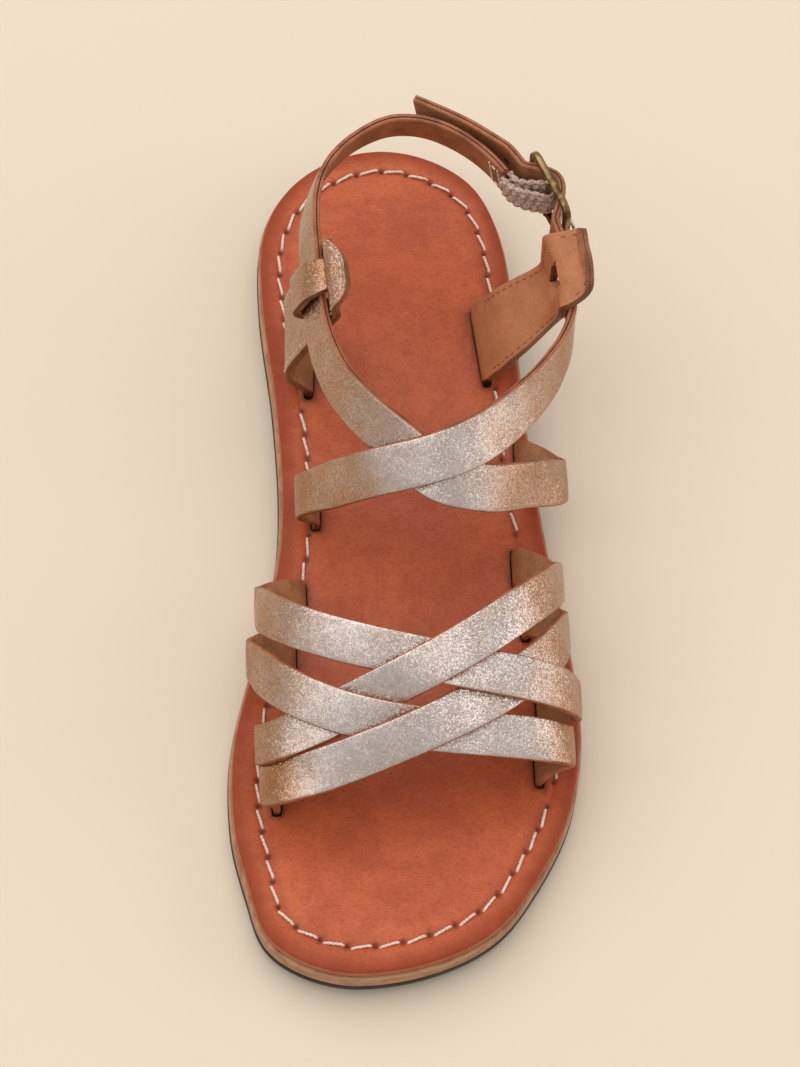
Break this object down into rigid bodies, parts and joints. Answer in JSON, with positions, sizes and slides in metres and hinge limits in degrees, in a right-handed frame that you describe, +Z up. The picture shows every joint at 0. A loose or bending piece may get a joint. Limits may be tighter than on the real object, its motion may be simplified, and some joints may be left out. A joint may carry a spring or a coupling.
{
  "type": "leather sandal",
  "caption": "Child's left leather sandal with a layered sole and low heel, woven toe straps, crossed instep straps and a buckled ankle strap held by side tabs.",
  "frame": {"origin": "centre of the bounding box's bottom, on the floor under the sole", "axes": "+Z up from the floor, -Y towards the toe, +X towards the outer side of the left foot"},
  "size_m": [0.0752, 0.1928, 0.0631],
  "materials": {
    "outsole": "matt dark brown",
    "heel": "matt dark brown",
    "midsole": "tan cut edge",
    "footbed": "satin orange-brown",
    "toe_straps": "crackled champagne foil",
    "ankle_straps": "crackled champagne foil",
    "medial_tab": "champagne foil outside, tan inside",
    "lateral_tab": "champagne foil outside, tan inside",
    "buckle_frame": "antique brass",
    "buckle_prong": "antique brass",
    "elastic": "ribbed webbing"
  },
  "bodies": {
    "root": {"outsole": "outsole", "heel": "heel", "midsole": "midsole", "footbed": "footbed", "toe_straps": "toe_straps", "ankle_straps": "ankle_straps", "medial_tab": "medial_tab", "lateral_tab": "lateral_tab", "buckle_frame": "buckle_frame", "buckle_prong": "buckle_prong", "elastic": "elastic"}
  },
  "joints": []
}
